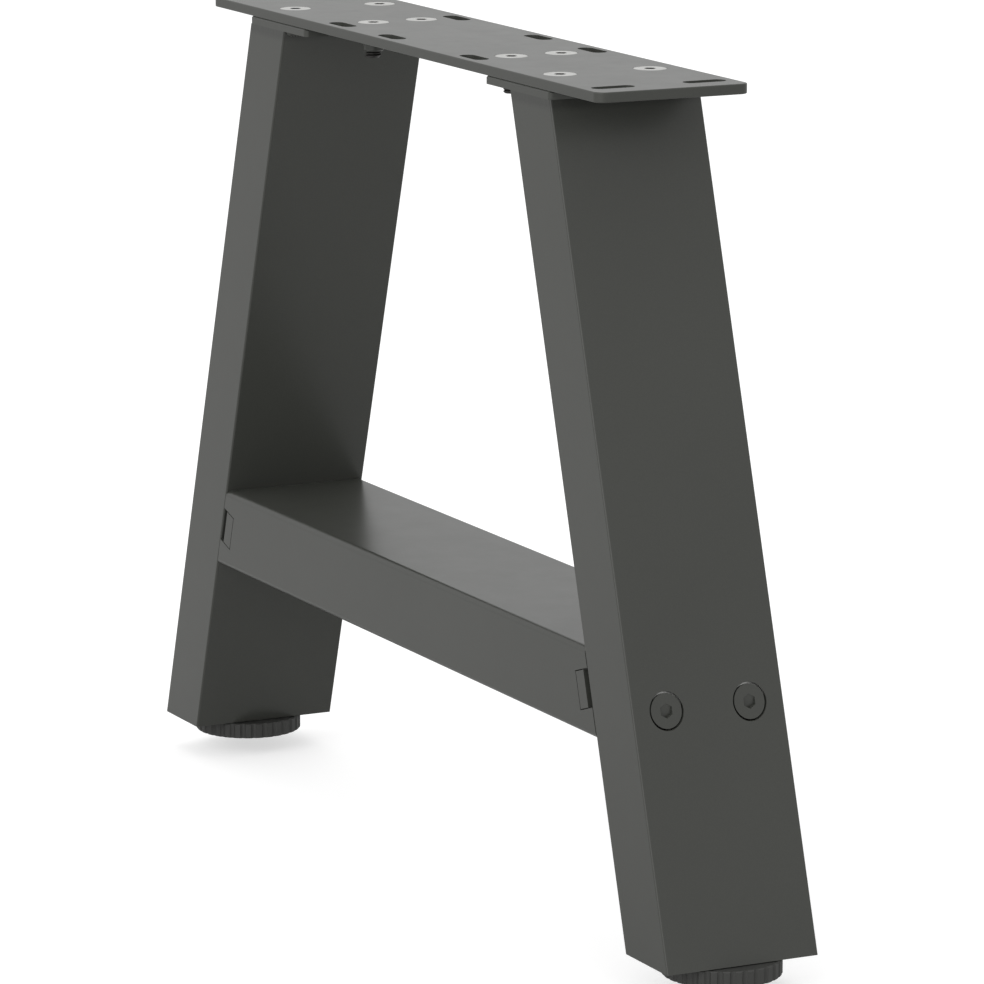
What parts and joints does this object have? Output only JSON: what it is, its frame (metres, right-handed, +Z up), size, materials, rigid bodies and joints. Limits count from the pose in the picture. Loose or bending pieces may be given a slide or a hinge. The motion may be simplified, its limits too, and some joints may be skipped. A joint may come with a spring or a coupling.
{
  "type": "trestle table leg",
  "caption": "Free-standing A-shaped steel trestle leg: slotted top plate on two slanted rectangular tubes, tied by a crossbar, on round levelling feet.",
  "frame": {"origin": "on the floor, midway between the two feet, with the feet screwed fully in", "axes": "+X along the top plate from the left leg to the right leg, +Y across the plate, +Z up"},
  "size_m": [0.6, 0.08, 0.41],
  "materials": {
    "powder_coat": "satin dark grey powder coat",
    "zinc_steel": "bright zinc plating",
    "foot_plastic": "dark moulded plastic"
  },
  "bodies": {
    "frame": {"crossbar_tube": "powder_coat", "left_bottom_plate": "powder_coat", "left_crossbar_end_plate": "powder_coat", "left_crossbar_screws": "powder_coat", "left_flange_nuts": "powder_coat", "left_foot_boss": "zinc_steel", "left_leg_tube": "powder_coat", "left_plate_screws": "zinc_steel", "left_screw_sleeves": "zinc_steel", "left_top_flange": "powder_coat", "right_bottom_plate": "powder_coat", "right_crossbar_end_plate": "powder_coat", "right_crossbar_screws": "powder_coat", "right_flange_nuts": "powder_coat", "right_foot_boss": "zinc_steel", "right_leg_tube": "powder_coat", "right_plate_screws": "zinc_steel", "right_screw_sleeves": "zinc_steel", "right_top_flange": "powder_coat", "top_plate": "powder_coat"},
    "left_foot": {"left_foot_stud": "zinc_steel", "left_foot_disc": "foot_plastic"},
    "right_foot": {"right_foot_stud": "zinc_steel", "right_foot_disc": "foot_plastic"}
  },
  "joints": [
    {"name": "left_foot_height", "type": "slide", "parent": "frame", "child": "left_foot", "axis": [0, 0, -1], "range_m": [0, 0.01]},
    {"name": "right_foot_height", "type": "slide", "parent": "frame", "child": "right_foot", "axis": [0, 0, -1], "range_m": [0, 0.01]}
  ]
}
